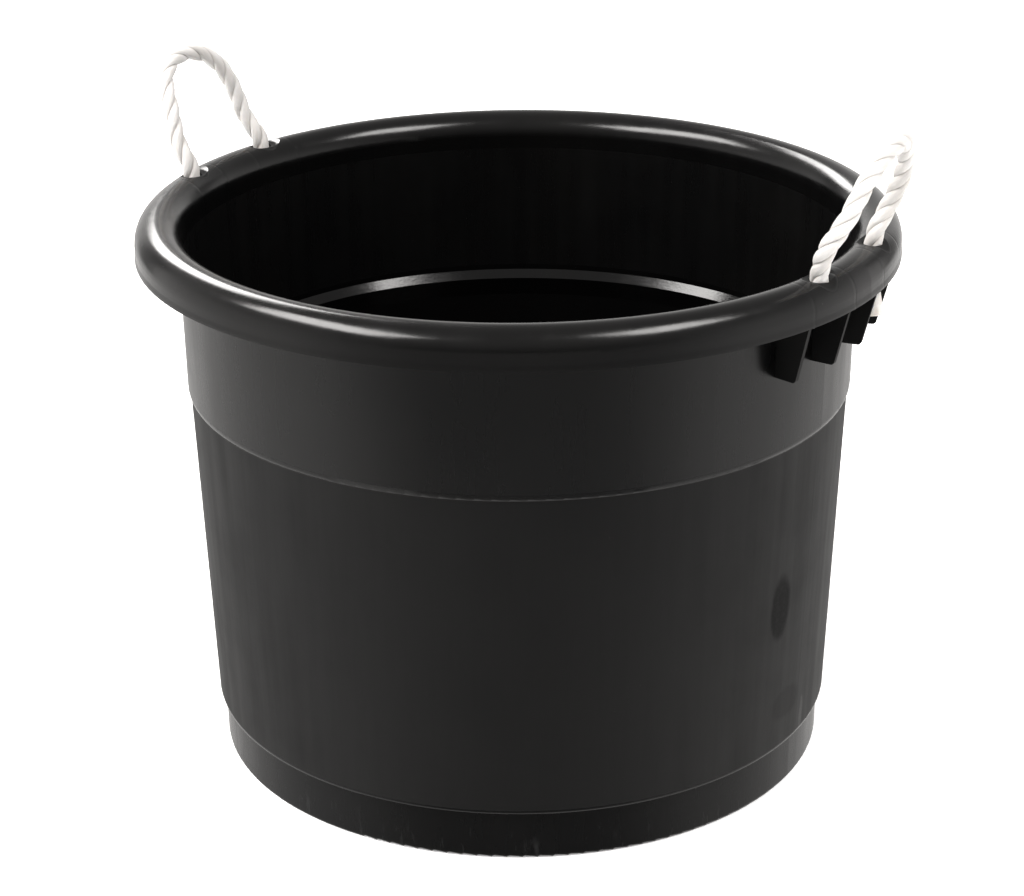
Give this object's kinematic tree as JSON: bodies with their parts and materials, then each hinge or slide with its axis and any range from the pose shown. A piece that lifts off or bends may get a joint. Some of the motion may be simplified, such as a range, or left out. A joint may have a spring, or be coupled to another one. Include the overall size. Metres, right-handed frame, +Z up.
{
  "type": "feed bucket",
  "caption": "Round open stable bucket with a rolled rim, stepped wall and base, gussets under the rim and twisted rope handles through holes in the rim.",
  "frame": {"origin": "on the ground under the centre of the base", "axes": "+Z up, the two rope handles on +X and -X"},
  "size_m": [0.6033, 0.56, 0.5042],
  "materials": {
    "gloss_shell": "smooth black moulded polyethylene",
    "satin_shell": "satin black moulded polyethylene",
    "rope": "white twisted three-strand polypropylene rope",
    "rope_knob": "rope end melted into a flared knob"
  },
  "bodies": {
    "bucket": {"bucket_floor": "satin_shell", "bucket_foot": "gloss_shell", "bucket_base": "gloss_shell", "bucket_wall": "satin_shell", "bucket_band": "gloss_shell", "bucket_rim": "gloss_shell", "right_gusset_1": "satin_shell", "right_gusset_2": "satin_shell", "right_gusset_3": "satin_shell", "right_gusset_4": "satin_shell", "left_gusset_1": "satin_shell", "left_gusset_2": "satin_shell", "left_gusset_3": "satin_shell", "left_gusset_4": "satin_shell"},
    "right_rope_ends": {"right_rope_tail_a": "rope", "right_rope_tail_b": "rope", "right_rope_knob_a": "rope_knob", "right_rope_knob_b": "rope_knob"},
    "right_rope_handle": {"right_rope_grip": "rope"},
    "left_rope_ends": {"left_rope_tail_a": "rope", "left_rope_tail_b": "rope", "left_rope_knob_a": "rope_knob", "left_rope_knob_b": "rope_knob"},
    "left_rope_handle": {"left_rope_grip": "rope"}
  },
  "joints": [
    {"name": "right_rope_lift", "type": "slide", "parent": "bucket", "child": "right_rope_ends", "axis": [0, 0, 1], "range_m": [0, 0.005]},
    {"name": "right_rope_swing", "type": "hinge", "parent": "right_rope_ends", "child": "right_rope_handle", "pos_m": [0.26047, 0, 0.4185], "axis": [0, 1, 0], "range_deg": [-90, 50]},
    {"name": "left_rope_lift", "type": "slide", "parent": "bucket", "child": "left_rope_ends", "axis": [0, 0, 1], "range_m": [0, 0.0255]},
    {"name": "left_rope_swing", "type": "hinge", "parent": "left_rope_ends", "child": "left_rope_handle", "pos_m": [-0.26047, 0, 0.4185], "axis": [0, -1, 0], "range_deg": [-95, 45]}
  ]
}
